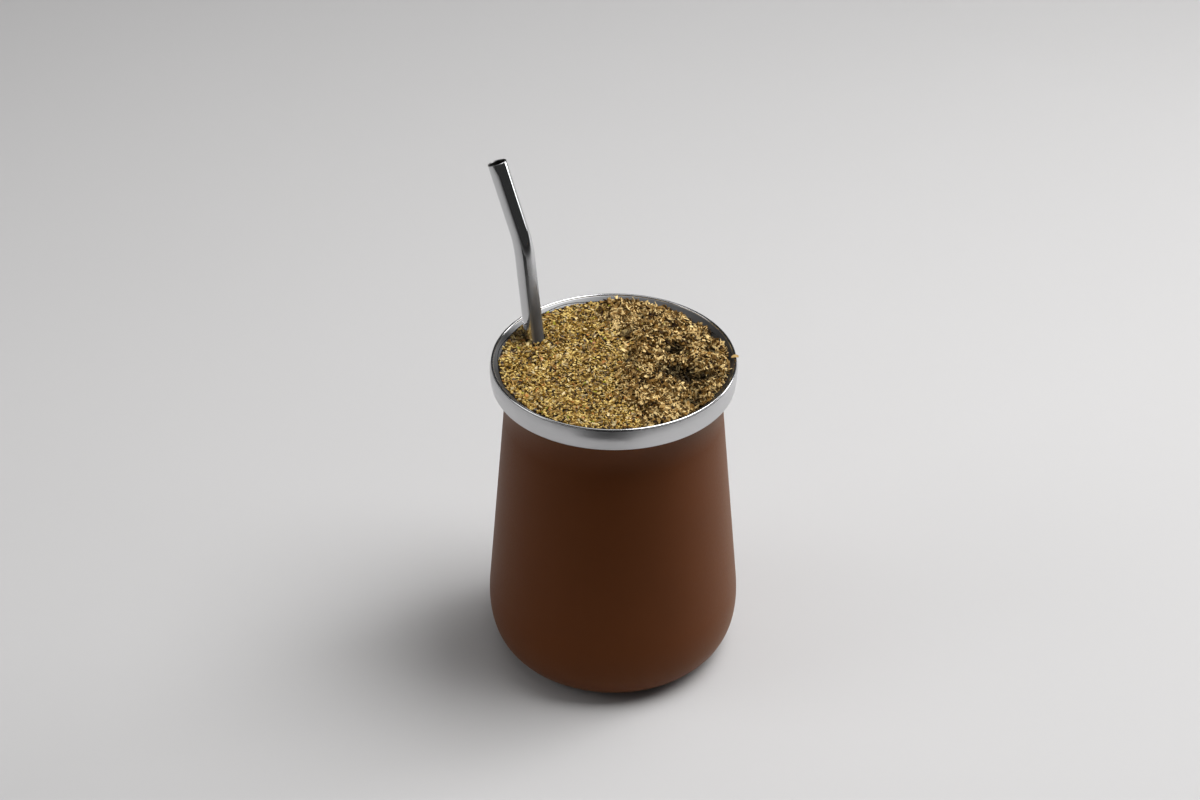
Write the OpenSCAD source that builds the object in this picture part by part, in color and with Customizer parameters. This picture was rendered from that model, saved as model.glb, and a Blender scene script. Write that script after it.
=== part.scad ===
// A mate gourd drink: a painted steel cup with a brushed steel rim, packed with
// yerba that is wet on one side and heaped dry on the other, and its bombilla.
// Millimetres, +Z up. The origin is the centre of the foot, on the surface that the cup stands on.

/* [Cup body] */
// Height of the cup, to the top of its lip
cup_h = 108; // [96:1:126]
// Diameter of the painted body where its flank starts to round in to the foot
belly_d = 80; // [74:1:92]
// Height of that place
belly_z = 24; // [18:1:32]
// How far the painted neck stands in from the lip, at each side
neck_in = 3.5; // [2:0.1:6]
// How far below the rim band the flare starts
flare_h = 12.7; // [9:0.1:16]
// How far the rim band stands out over the painted body, at each side
band_overhang = 1; // [0.9:0.1:2]
// Diameter of the flat foot
foot_d = 50; // [42:1:60]
// How far the belly keeps the flank's direction before it turns in
belly_pull = 21; // [14:1:22]
// How far the foot's flatness carries out into the belly
foot_pull = 8; // [4:1:14]
// Thickness of the painted outer wall, with its insulating gap
shell_t = 2.8; // [2:0.1:4]

/* [Liner and rim] */
// Diameter at the outside of the lip
lip_d = 76; // [73:0.5:84]
// Radius of the rounded lip
lip_r = 0.45; // [0.3:0.05:0.6]
// Height of the brushed band below the lip
band_h = 7.8; // [5:0.1:10]
// How far the band swells out past the lip
band_swell = 0.35; // [0:0.05:0.8]
// Radius of the band's rounded lower edge
band_edge_r = 0.9; // [0.4:0.1:1.4]
// Thickness of the steel liner
liner_t = 1; // [0.6:0.1:1.5]

/* [Yerba] */
// Depth of the wet yerba's edge below the top of the lip
yerba_drop = 1.6; // [1.2:0.1:6]
// Height of the dry heap above the wet side
heap_h = 3.4; // [1:0.2:6]
// Height of the small lumps
lump_h = 0.55; // [0.2:0.05:1]
// Gap between the yerba and the steel that it lies against
yerba_gap = 0.05; // [0.02:0.01:0.2]

/* [Bombilla] */
// Outer diameter of the tube below its bend
straw_d = 6.2; // [5:0.1:8]
// Thickness of the tube's wall
straw_t = 0.5; // [0.3:0.1:0.8]
// How much thinner the drawn mouthpiece is than the tube below the bend
mouthpiece_draw = 0.2; // [0.1:0.05:0.4]
// Compass direction of the place where the tube leans on the liner, in degrees from +X
straw_place = 150.2; // [140:0.1:160]
// How far below the wet yerba's level that place is
straw_lean_drop = 8.4; // [6:0.1:12]
// Gap between the tube and the steel that it leans and stands on
straw_gap = 0.3; // [0.2:0.05:0.5]
// Lean of the lower stretch from upright, in degrees
straw_tilt = 11.3; // [8:0.1:13]
// Compass direction of that lean, in degrees from +X
straw_azimuth = 119.5; // [100:0.5:140]
// Turn of the bend's plane about the lower stretch, in degrees
bend_turn = 41.3; // [20:0.1:90]
// Angle of the bend, in degrees
bend_angle = 12; // [6:0.5:25]
// Radius of the bend, at the tube's axis
bend_r = 46; // [30:1:70]
// Length of straight tube between the yerba and the bend
straw_rise = 26.5; // [18:0.5:40]
// Length of the straight mouthpiece above the bend
mouthpiece_l = 22.3; // [14:0.1:40]

/* [Hidden] */
$fn = 96;

belly_steps = 16;   // straight steps along the turn from the flank to the foot
flare_steps = 8;    // along the flare under the rim
mouth_steps = 20;   // along the liner's widening mouth
edge_steps = 6;     // along each small rounding of the rim
mouth_power = 4.5;  // how late the liner's mouth widens
mouth_d = lip_d - 4 * lip_r;
neck_d = lip_d - 2 * neck_in;
collar_d = lip_d - 2 * band_overhang;
wall_t = shell_t + liner_t;
band_z = cup_h - band_h;
neck_z = band_z - flare_h;

// ---- the body's outline, at any depth below its painted surface ----
flank_lean = atan((neck_d / 2 - belly_d / 2) / (neck_z - belly_z));
flare_end = 2 * atan((collar_d - neck_d) / 2 / flare_h) - flank_lean;
flare_r = flare_h / (sin(flare_end) - sin(flank_lean));
flare_x = neck_d / 2 + flare_r * cos(flank_lean);
flare_z = neck_z - flare_r * sin(flank_lean);

belly_ctrl = [
    [belly_d / 2, belly_z],
    [belly_d / 2 - belly_pull * sin(flank_lean), belly_z - belly_pull * cos(flank_lean)],
    [foot_d / 2 + foot_pull, 0],
    [foot_d / 2, 0]
];

// A point on the belly's curve, t = 0 at the flank and 1 at the foot
function belly_point(t) =
    pow(1 - t, 3) * belly_ctrl[0] + 3 * pow(1 - t, 2) * t * belly_ctrl[1]
    + 3 * (1 - t) * t * t * belly_ctrl[2] + pow(t, 3) * belly_ctrl[3];

// The direction of that curve, towards the foot
function belly_way(t) =
    let (d = pow(1 - t, 2) * (belly_ctrl[1] - belly_ctrl[0])
           + 2 * (1 - t) * t * (belly_ctrl[2] - belly_ctrl[1])
           + t * t * (belly_ctrl[3] - belly_ctrl[2]))
    d / norm(d);

// The same point moved inwards, square to the surface
function belly_inset(t, depth) =
    let (way = belly_way(t)) belly_point(t) + depth * [way[1], -way[0]];

function flare_point(angle, depth) =
    [flare_x - (flare_r + depth) * cos(angle), flare_z + (flare_r + depth) * sin(angle)];

// From the axis at the foot, up the flank to the neck
function body_outline(depth) = concat(
    [[0, depth]],
    [for (i = [belly_steps : -1 : 0]) belly_inset(i / belly_steps, depth)],
    [flare_point(flank_lean, depth)]
);

// From the neck up the flare to the underside of the rim band
function flare_outline(depth) =
    let (last = asin((band_z - flare_z) / (flare_r + depth)))
    [for (i = [1 : flare_steps]) flare_point(flank_lean + (last - flank_lean) * i / flare_steps, depth)];

function backwards(points) = [for (i = [len(points) - 1 : -1 : 0]) points[i]];

// ---- the liner's mouth ----
throat = flare_point(flank_lean, wall_t);
mouth_top = cup_h - lip_r;
function mouth_radius(z) =
    throat[0] + (mouth_d / 2 - throat[0]) * pow((z - throat[1]) / (mouth_top - throat[1]), mouth_power);
mouth_outline = [
    for (i = [1 : mouth_steps])
    let (z = throat[1] + (mouth_top - throat[1]) * i / mouth_steps)
    [mouth_radius(z), z]
];

// ---- the rim, from the band's lower edge up and over the lip ----
band_edge = [
    for (i = [0 : edge_steps])
    let (a = -90 + 90 * i / edge_steps)
    [lip_d / 2 - band_edge_r + band_edge_r * cos(a), band_z + band_edge_r + band_edge_r * sin(a)]
];
band_face_h = mouth_top - band_z - band_edge_r;
band_face = [
    for (i = [1 : edge_steps + 1])
    let (t = i / (edge_steps + 2))
    [lip_d / 2 + band_swell * sin(180 * pow(t, 1.3)), band_z + band_edge_r + band_face_h * t]
];
lip_round = [
    for (i = [0 : edge_steps])
    let (a = 180 * i / edge_steps)
    [lip_d / 2 - lip_r + lip_r * cos(a), mouth_top + lip_r * sin(a)]
];

module shell() {
    color("#4b2b19")
    rotate_extrude()
    polygon(concat(
        body_outline(0), flare_outline(0),
        backwards(flare_outline(shell_t)), backwards(body_outline(shell_t))
    ));
}

module liner() {
    color("#b9babb")
    rotate_extrude()
    polygon(concat(
        body_outline(shell_t), flare_outline(shell_t),
        band_edge, band_face, lip_round,
        backwards(mouth_outline), backwards(body_outline(wall_t))
    ));
}

// ---- the yerba's uneven top ----
level_z = cup_h - yerba_drop;
mouth_r = mouth_d / 2;
sectors = 60;
top_rings = 16;
edge_rings = 4;
buried_z = level_z - 3;   // below this the yerba's side has the liner's own steps

// 0 on the wet side, 1 on the dry heap, with a ragged border
function dryness(x, y) =
    let (border = mouth_r * (0.11 + 0.08 * sin(9 * y + 20)) - 0.12 * y)
    let (t = min(1, max(0, (x - border) / (0.24 * mouth_r) + 0.5)))
    t * t * (3 - 2 * t);

// A round hump about a place given in shares of the mouth's radius, 1 at its middle
function bump(x, y, place, size) = exp(-pow(norm([x, y] - mouth_r * place) / (mouth_r * size), 2));

function lumps(x, y) =
    sin(31 * x + 40 * sin(17 * y)) * cos(27 * y + 30 * sin(13 * x))
    + 0.6 * sin(47 * x + 25) * sin(43 * y - 50 * sin(21 * x));

function yerba_top(x, y) =
    let (dry = dryness(x, y), shore = 1 - pow(min(1, norm([x, y]) / mouth_r), 6))
    level_z - 0.3
    + heap_h * dry * (0.28 + 0.72 * bump(x, y, [0.46, 0.08], 0.4)) * shore
    + lump_h * lumps(x, y) * (0.35 + 1.15 * dry) * shore
    - heap_h * dry * (0.62 * bump(x, y, [0.43, 0.11], 0.09) + 0.75 * bump(x, y, [0.65, -0.19], 0.1))
    - 1.1 * bump(x, y, [0.09, 0.57], 0.08);

// Height of the yerba's edge on the liner: highest where the dry heap leans on the lip,
// lowest in the bay behind it
function edge_z(a) =
    level_z + 0.75 * (yerba_drop - lip_r) * max(0, cos(a + 8)) - 1.3 * pow(max(0, cos(a - 52)), 12)
    + 0.16 * sin(7 * a) + 0.1 * sin(13 * a + 40);

function ring(r, z) = [for (s = [0 : sectors - 1]) let (a = 360 * s / sectors) [r * cos(a), r * sin(a), z]];

yerba_side = concat(
    [for (p = body_outline(wall_t)) if (p[0] > 0) [p[0], max(p[1], wall_t + yerba_gap)]],
    [for (p = mouth_outline) if (p[1] < buried_z) p]
);

yerba_points = concat(
    [[0, 0, wall_t + yerba_gap]],
    [for (p = yerba_side) each ring(p[0] - yerba_gap, p[1])],
    [for (k = [1 : edge_rings], s = [0 : sectors - 1])
        let (a = 360 * s / sectors, z = buried_z + (edge_z(a) - buried_z) * k / edge_rings)
        let (r = mouth_radius(z) - yerba_gap)
        [r * cos(a), r * sin(a), z]
    ],
    [for (k = [top_rings - 1 : -1 : 1], s = [0 : sectors - 1])
        let (a = 360 * s / sectors, r = (mouth_radius(edge_z(a)) - yerba_gap) * k / top_rings)
        [r * cos(a), r * sin(a), yerba_top(r * cos(a), r * sin(a))]
    ],
    [[0, 0, yerba_top(0, 0)]]
);

rings = len(yerba_side) + edge_rings + top_rings - 1;
yerba_faces = concat(
    [for (s = [0 : sectors - 1]) [0, 1 + s, 1 + (s + 1) % sectors]],
    [for (k = [0 : rings - 2], s = [0 : sectors - 1])
        let (a = 1 + k * sectors, b = a + sectors, n = (s + 1) % sectors)
        each [[a + s, b + s, b + n], [a + s, b + n, a + n]]
    ],
    [for (s = [0 : sectors - 1])
        let (a = 1 + (rings - 1) * sectors)
        [a + s, a + sectors, a + (s + 1) % sectors]
    ]
);

// ---- the bombilla's path: it stands on the liner's floor and leans on its narrow throat ----
mouthpiece_seat = 0.5;
lean_z = level_z - straw_lean_drop;
lean_r = mouth_radius(lean_z) - straw_d / 2 - straw_gap;
straw_foot = (lean_z - wall_t - straw_gap) / cos(straw_tilt) - straw_d / 2 * tan(straw_tilt);
straw_top = straw_lean_drop / cos(straw_tilt) + straw_rise;

// The frame whose +Z runs up the tube's lower stretch from where it leans, and whose +X is the bend's side
module at_straw() {
    translate([lean_r * cos(straw_place), lean_r * sin(straw_place), lean_z])
    rotate([0, 0, straw_azimuth])
    rotate([0, straw_tilt, 0])
    rotate([0, 0, bend_turn])
    children();
}

// A rod along the tube's path, built out from the start of the bend.
// Its thinner upper stretch is seated a little way into the bend.
module straw_rod(r, extra) {
    translate([0, 0, straw_top]) {
        mirror([0, 0, 1])
        cylinder(r = r, h = straw_foot + straw_top + extra);
        translate([bend_r, 0, 0]) {
            rotate([90, 0, 180])
            rotate_extrude(angle = bend_angle)
            translate([bend_r, 0])
            circle(r = r);
            rotate([0, bend_angle, 0])
            translate([-bend_r, 0, -mouthpiece_seat])
            cylinder(r = r - mouthpiece_draw / 2, h = mouthpiece_seat + mouthpiece_l + extra);
        }
    }
}

module yerba() {
    color("#8a6d35")
    difference() {
        polyhedron(points = yerba_points, faces = yerba_faces);
        at_straw()
        translate([0, 0, -straw_foot - straw_d])
        cylinder(r = straw_d / 2 + yerba_gap, h = straw_foot + straw_d + straw_top);
    }
}

module bombilla() {
    color("#c9cacc")
    at_straw()
    difference() {
        straw_rod(straw_d / 2, 0);
        straw_rod(straw_d / 2 - straw_t, 1);
    }
}

shell();
liner();
yerba();
bombilla();
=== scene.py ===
"""A mate gourd drink: a painted steel cup with a brushed steel rim, its packed yerba and its bombilla."""

import math

import bpy
import numpy as np
from bpy.props import FloatProperty, FloatVectorProperty, IntProperty, PointerProperty
from mathutils import Matrix, Vector, noise


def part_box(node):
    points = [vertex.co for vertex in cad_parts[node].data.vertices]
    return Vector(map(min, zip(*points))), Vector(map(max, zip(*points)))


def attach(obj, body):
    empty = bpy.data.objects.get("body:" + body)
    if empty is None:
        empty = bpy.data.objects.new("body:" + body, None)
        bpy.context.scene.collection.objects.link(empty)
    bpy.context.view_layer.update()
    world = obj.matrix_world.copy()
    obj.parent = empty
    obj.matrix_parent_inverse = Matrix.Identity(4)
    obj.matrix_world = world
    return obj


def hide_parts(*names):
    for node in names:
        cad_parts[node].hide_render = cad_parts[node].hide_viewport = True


bl_info = {
    "name": "Mate gourd drink",
    "version": (1, 0, 0),
    "blender": (4, 5, 0),
    "location": "3D View > Sidebar > Mate",
    "description": "Makes a mate cup packed with yerba, its bombilla, and a plain stage",
    "category": "Add Mesh",
}

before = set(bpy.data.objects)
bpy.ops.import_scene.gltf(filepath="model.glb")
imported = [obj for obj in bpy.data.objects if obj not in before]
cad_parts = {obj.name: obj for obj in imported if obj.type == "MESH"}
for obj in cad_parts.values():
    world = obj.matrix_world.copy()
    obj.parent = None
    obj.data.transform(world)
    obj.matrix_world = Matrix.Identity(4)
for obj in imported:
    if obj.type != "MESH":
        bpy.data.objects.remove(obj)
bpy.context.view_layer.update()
LIP_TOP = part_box("liner")[1][2]

MM = 0.001
CM = 0.01
TAU = 2 * math.pi
SAME_POINT = 1e-6               # points nearer than this are one
SHARP_EDGE = math.radians(40)   # edges that turn more than this stay crisp
WOBBLE = 1100                   # how finely the loose bits are warped
CUP_STEPS = 192                 # sides of the cup's rings
TUBE_STEPS = 64                 # sides of the bombilla's rings


# ---------------------------------------------------------------- sizes and colours

def length(name, value, description):
    """A length setting; its default is given in millimetres"""
    return FloatProperty(name=name, description=description, default=value * MM, unit="LENGTH", precision=4)


def angle(name, value, description):
    """An angle setting; its default is given in degrees"""
    return FloatProperty(name=name, description=description, default=math.radians(value), subtype="ANGLE")


def share(name, value, description):
    """A plain number setting"""
    return FloatProperty(name=name, description=description, default=value)


def colour(name, red, green, blue, description):
    """A colour setting; its default is given as display values from 0 to 255"""
    return FloatVectorProperty(name=name, description=description, size=3, min=0.0, max=1.0,
                               subtype="COLOR", default=[light_of(v) for v in (red, green, blue)])


def light_of(value):
    """The light that a display value from 0 to 255 stands for"""
    v = value / 255
    return v / 12.92 if v <= 0.04045 else ((v + 0.055) / 1.055) ** 2.4


class CupSizes(bpy.types.PropertyGroup):
    height: length("Height", LIP_TOP / MM, "Height of the cup, to the top of its lip")
    belly_width: length("Belly width", 80, "Width where the flank starts to round in to the foot")
    belly_height: length("Belly height", 24, "Height of that place")
    neck_in: length("Neck set-in", 3.5, "How far the painted neck stands in from the lip")
    flare: length("Flare", 12.7, "How far below the rim band the flare starts")
    overhang: length("Band overhang", 1, "How far the rim band stands out over the painted body")
    foot_width: length("Foot width", 50, "Width of the flat foot")
    belly_pull: length("Belly pull", 21, "How far the belly keeps the flank's direction")
    foot_pull: length("Foot pull", 8, "How far the foot's flatness carries out into the belly")
    wall: length("Wall", 2.8, "Thickness of the painted outer wall")
    skin: length("Skin set-in", 0.03, "How far the paint lies inside the nominal outline")


class RimSizes(bpy.types.PropertyGroup):
    width: length("Lip width", 76, "Width at the outside of the lip")
    lip_radius: length("Lip radius", 0.45, "Radius of the rounded lip")
    band_height: length("Band height", 7.8, "Height of the brushed band below the lip")
    band_swell: length("Band swell", 0.35, "How far the band swells out past the lip")
    edge_radius: length("Band edge radius", 0.9, "Radius of the band's rounded lower edge")
    wall: length("Liner wall", 1, "Thickness of the steel liner")


class YerbaSizes(bpy.types.PropertyGroup):
    drop: length("Drop", 1.6, "Depth of the wet yerba's edge below the top of the lip")
    heap: length("Heap height", 3.4, "Height of the dry heap above the wet side")
    lump: length("Lump height", 0.55, "Height of the small lumps")
    gap: length("Gap", 0.05, "Gap between the yerba and the steel")
    bed_depth: length("Bed depth", 0.15, "How far the bed lies below the top of its loose bits")
    clod: length("Clod height", 1.7, "Height of the clods on the dry side")
    crack: length("Crack depth", 2.0, "Depth of the cracks between the clods")
    crumb: length("Crumb height", 0.35, "Height of the finest relief")
    edge_rise: length("Edge rise", 0.5, "How far the bed climbs the liner at the back left")
    soaked_x: length("Soaked place, X", -29, "Middle of the soaked patch at the bombilla, towards the right")
    soaked_y: length("Soaked place, Y", 16, "Middle of the soaked patch at the bombilla, towards the back")
    seed: IntProperty(name="Seed", description="Seed of the scattered bits", default=7)


class BombillaSizes(bpy.types.PropertyGroup):
    width: length("Width", 6.2, "Width of the tube below its bend")
    wall: length("Wall", 0.5, "Thickness of the tube's wall")
    draw: length("Draw", 0.2, "How much thinner the tube is above its bend")
    place: angle("Place", 150.2, "Compass direction of the place where the tube leans on the liner")
    lean_drop: length("Lean drop", 8.4, "How far below the yerba's level that place is")
    gap: length("Gap", 0.3, "Gap between the tube and the steel")
    tilt: angle("Tilt", 11.3, "Lean of the lower stretch from upright")
    azimuth: angle("Azimuth", 119.5, "Compass direction of that lean")
    bend_turn: angle("Bend turn", 41.3, "Turn of the bend's plane about the lower stretch")
    bend: angle("Bend", 12, "Angle of the bend")
    bend_radius: length("Bend radius", 46, "Radius of the bend at the tube's axis")
    rise: length("Rise", 26.5, "Straight tube between the yerba and the bend")
    mouthpiece: length("Mouthpiece", 22.3, "Straight tube above the bend")


class Finishes(bpy.types.PropertyGroup):
    paint: colour("Paint", 94, 49, 20, "The cup's powder coat")
    steel: colour("Steel", 206, 206, 207, "The liner, the rim and the bombilla")
    wet_dark: colour("Wet leaf, dark", 36, 20, 4, "The darkest wet bits")
    wet_mid: colour("Wet leaf", 146, 108, 30, "Most of the wet bits")
    wet_light: colour("Wet leaf, light", 226, 197, 118, "The lightest wet bits")
    dry_dark: colour("Dry leaf, dark", 40, 22, 7, "The darkest dry bits")
    dry_mid: colour("Dry leaf", 142, 106, 48, "Most of the dry bits")
    dry_light: colour("Dry leaf, light", 240, 211, 148, "The lightest dry bits")
    bed: colour("Bed", 32, 22, 9, "The packed yerba below the loose bits")
    stem: colour("Stems", 176, 142, 84, "The bits of stem")
    pale: colour("Pale bits", 206, 184, 134, "The palest bits")
    rust: colour("Rust bits", 172, 116, 54, "The orange bits")
    green: colour("Green bits", 150, 148, 44, "The few green bits")
    floor: colour("Floor", 194, 193, 193, "The stage's floor")


class StageSizes(bpy.types.PropertyGroup):
    lens: FloatProperty(name="Lens", description="Focal length in millimetres", default=84.0)
    distance: length("Distance", 895, "How far the camera stands from the cup's middle")
    pitch: angle("Pitch", 34.67, "How steeply the camera looks down")
    aim_across: length("Aim across", 4.244, "How far to the side the camera aims")
    aim_up: length("Aim up", 31.765, "How far above the cup's middle the camera aims")
    key: share("Key light", 5.25, "Power of the big soft light at the right, in watts")
    front: share("Front light", 0.25, "Power of the dim soft light at the front, in watts")
    side: share("Side light", 2.5, "Power of the low light at the right, in watts")
    fill: share("Fill light", 2.2, "Power of the soft light at the left, in watts")
    top: share("Top light", 2.7, "Power of the soft light overhead, in watts")
    room: share("Room light", 0.04, "Strength of the light from the room")


SETTINGS = {
    "mate_cup": CupSizes,
    "mate_rim": RimSizes,
    "mate_yerba": YerbaSizes,
    "mate_bombilla": BombillaSizes,
    "mate_finishes": Finishes,
    "mate_stage": StageSizes,
}


# ---------------------------------------------------------------- node trees

class Value:
    """An output of a node, which takes part in sums and adds the nodes that they need"""

    def __init__(self, bench, socket):
        self.bench = bench
        self.socket = socket

    def sum(self, operation, *others):
        """A Math node on these values"""
        return self.bench.add("ShaderNodeMath", {"operation": operation}, dict(enumerate(others)))

    def __add__(self, other):
        return self.sum("ADD", self, other)

    def __radd__(self, other):
        return self.sum("ADD", other, self)

    def __sub__(self, other):
        return self.sum("SUBTRACT", self, other)

    def __rsub__(self, other):
        return self.sum("SUBTRACT", other, self)

    def __mul__(self, other):
        return self.sum("MULTIPLY", self, other)

    def __rmul__(self, other):
        return self.sum("MULTIPLY", other, self)

    def __truediv__(self, other):
        return self.sum("DIVIDE", self, other)

    def __rtruediv__(self, other):
        return self.sum("DIVIDE", other, self)

    def clamped(self):
        """The same value kept between 0 and 1"""
        return self.bench.add("ShaderNodeMath", {"operation": "ADD", "use_clamp": True}, {0: self, 1: 0.0})


class Bench:
    """A node tree that is being wired up"""

    def __init__(self, tree):
        self.tree = tree
        self.tree.nodes.clear()

    def add(self, kind, settings=None, inputs=None, out=0):
        """Add a node: its settings first, then the values and links of its sockets"""
        node = self.tree.nodes.new(kind)
        for name, value in (settings or {}).items():
            if name == "stops":
                self.set_stops(node.color_ramp, value)
            else:
                setattr(node, name, value)
        for key, value in (inputs or {}).items():
            if isinstance(value, Value):
                self.tree.links.new(value.socket, node.inputs[key])
            else:
                node.inputs[key].default_value = value
        return Value(self, node.outputs[out]) if len(node.outputs) else node

    def also(self, value, out):
        """Another output of the same node"""
        return Value(self, value.socket.node.outputs[out])

    def set_stops(self, ramp, stops):
        """Give a colour ramp its stops"""
        while len(ramp.elements) < len(stops):
            ramp.elements.new(0.5)
        for element, (place, shade) in zip(ramp.elements, stops):
            element.position = place
            element.color = (*shade, 1)

    def mix(self, share_of_b, a, b, blend="MIX"):
        """Two colours mixed"""
        return self.add("ShaderNodeMix", {"data_type": "RGBA", "blend_type": blend},
                        {0: share_of_b, 6: a, 7: b}, out=2)

    def toned(self, tint, tone):
        """A colour made lighter or darker by a grey tone"""
        grey = self.add("ShaderNodeCombineColor", None, {0: tone, 1: tone, 2: tone})
        return self.mix(1.0, (*tint, 1), grey, "MULTIPLY")

    def vector_sum(self, operation, a, b):
        """Two vectors added, subtracted or multiplied"""
        return self.add("ShaderNodeVectorMath", {"operation": operation}, {0: a, 1: b})

    def scaled(self, vector, *factors):
        """A vector with each of its numbers multiplied"""
        return self.vector_sum("MULTIPLY", vector, factors)

    def stretched(self, vector, factor):
        """A vector made longer or shorter"""
        return self.add("ShaderNodeVectorMath", {"operation": "SCALE"}, {0: vector, "Scale": factor})

    def read(self, name):
        """What the mesh carries under a name, in a material"""
        return self.add("ShaderNodeAttribute", {"attribute_name": name}, None, "Fac")

    def store(self, geometry, domain, name, value):
        """A geometry that also carries a value under a name"""
        return self.add("GeometryNodeStoreNamedAttribute", {"data_type": "FLOAT", "domain": domain},
                        {"Geometry": geometry, "Name": name, "Value": value})

    def grain(self, vector, scale, detail=3.0, roughness=0.5):
        """Soft random values, about 0.5"""
        return self.add("ShaderNodeTexNoise", {"noise_dimensions": "3D"},
                        {"Vector": vector, "Scale": scale, "Detail": detail, "Roughness": roughness})

    def smooth(self, value, start, end, low=0.0, high=1.0):
        """A soft step between two values"""
        return self.add("ShaderNodeMapRange", {"interpolation_type": "SMOOTHSTEP"},
                        {0: value, 1: start, 2: end, 3: low, 4: high})


def geometry_tree(name, sockets):
    """A Geometry Nodes tree with the usual geometry in and out, and the named inputs"""
    tree = bpy.data.node_groups.new(name, "GeometryNodeTree")
    tree.is_modifier = True
    tree.interface.new_socket("Geometry", in_out="OUTPUT", socket_type="NodeSocketGeometry")
    for label, kind in {"Geometry": "Geometry", **sockets}.items():
        tree.interface.new_socket(label, in_out="INPUT", socket_type="NodeSocket" + kind)
    bench = Bench(tree)
    first = bench.add("NodeGroupInput")
    taken = {label: bench.also(first, label) for label in ["Geometry", *sockets]}
    return bench, taken


def close_tree(bench, geometry, finish):
    """End a tree in real geometry with its material"""
    real = bench.add("GeometryNodeRealizeInstances", None, {"Geometry": geometry})
    done = bench.add("GeometryNodeSetMaterial", None, {"Geometry": real, "Material": finish})
    bench.add("NodeGroupOutput", None, {"Geometry": done})
    return bench.tree


def placed(name, data):
    """A new object in the scene"""
    thing = bpy.data.objects.new(name, data)
    bpy.context.scene.collection.objects.link(thing)
    return thing


def mesh_of(name, points, edges, faces):
    """A new mesh"""
    mesh = bpy.data.meshes.new(name)
    mesh.from_pydata(points, edges, faces)
    return mesh


def grown(name, start, tree, settings):
    """A plain mesh object, made by a tree from a starting mesh"""
    holder = placed(name + "_start", start)
    modifier = holder.modifiers.new("Grow", "NODES")
    modifier.node_group = tree
    for item in tree.interface.items_tree:
        if item.in_out == "INPUT" and item.name in settings:
            modifier[item.identifier] = settings[item.name]
    holder.update_tag()
    bpy.context.view_layer.update()
    ready = bpy.context.evaluated_depsgraph_get()
    mesh = bpy.data.meshes.new_from_object(holder.evaluated_get(ready), depsgraph=ready)
    holder.modifiers.remove(modifier)
    bpy.data.objects.remove(holder)
    if not len(mesh.polygons):
        raise RuntimeError(name + " came out empty")
    mesh.name = name
    return placed(name, mesh)


def give(mesh, name, kind, values):
    """Store an attribute on the points of a mesh"""
    field = mesh.attributes.new(name, kind, "POINT")
    flat = np.asarray(values, dtype=np.float32).ravel()
    field.data.foreach_set("vector" if kind == "FLOAT_VECTOR" else "value", flat)


def hand_in(piece, slot, *nodes):
    """Hang a finished piece on the root body, and hide the imported parts that it stands for; slot is not
    used
    """
    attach(piece, "root")
    if nodes:
        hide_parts(*nodes)


# ---------------------------------------------------------------- round pieces

def round_tree():
    """Rings about a line of centres, each with its own radius and frame"""
    bench, taken = geometry_tree("Round piece", {"Steps": "Int", "Finish": "Material"})
    line = taken["Geometry"]
    count = bench.add("GeometryNodeAttributeDomainSize", {"component": "MESH"}, {"Geometry": line})
    grid = bench.add("GeometryNodeMeshGrid", None,
                     {"Vertices X": taken["Steps"] + 1, "Vertices Y": count})
    index = bench.add("GeometryNodeInputIndex")
    row = index.sum("FLOORED_MODULO", index, count)
    turn = index.sum("FLOOR", index / count) / taken["Steps"] * TAU

    def along(kind, name=None):
        """What the ring's own centre carries under a name, or else its place"""
        if name:
            read = bench.add("GeometryNodeInputNamedAttribute", {"data_type": kind}, {"Name": name})
        else:
            read = bench.add("GeometryNodeInputPosition")
        return bench.add("GeometryNodeSampleIndex", {"data_type": kind, "domain": "POINT"},
                         {"Geometry": line, "Value": read, "Index": row})

    radius = along("FLOAT", "radius")
    reach = [bench.stretched(along("FLOAT_VECTOR", name), turn.sum(wave, turn) * radius)
             for name, wave in (("across", "COSINE"), ("over", "SINE"))]
    place = bench.vector_sum("ADD", along("FLOAT_VECTOR"), bench.vector_sum("ADD", *reach))
    marked = bench.store(grid, "POINT", "brushed", along("FLOAT", "brushed"))
    shaped = bench.add("GeometryNodeSetPosition", None, {"Geometry": marked, "Position": place})
    joined = bench.add("GeometryNodeMergeByDistance", None, {"Geometry": shaped, "Distance": SAME_POINT})
    soft = bench.add("GeometryNodeSetShadeSmooth", None, {"Geometry": joined, "Shade Smooth": True})
    return close_tree(bench, soft, taken["Finish"])


def round_piece(name, rings, steps, finish):
    """A piece of rings; each ring is a centre, two directions, a radius and a mark of how brushed it is,
    which also sets how far painted shade darkens it
    """
    centres, across, over, radii, brushed = zip(*rings)
    start = mesh_of(name + "_line", centres, [(i, i + 1) for i in range(len(rings) - 1)], [])
    give(start, "across", "FLOAT_VECTOR", across)
    give(start, "over", "FLOAT_VECTOR", over)
    give(start, "radius", "FLOAT", radii)
    give(start, "brushed", "FLOAT", brushed)
    piece = grown(name, start, round_tree(), {"Steps": steps, "Finish": finish})
    piece.data.set_sharp_from_angle(angle=SHARP_EDGE)
    return piece


def turned(outline, brushed):
    """Rings for a piece turned about the upright axis"""
    return [((0, 0, z), (1, 0, 0), (0, 1, 0), max(r, 0.0), mark)
            for (r, z), mark in zip(outline, brushed)]


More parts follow.
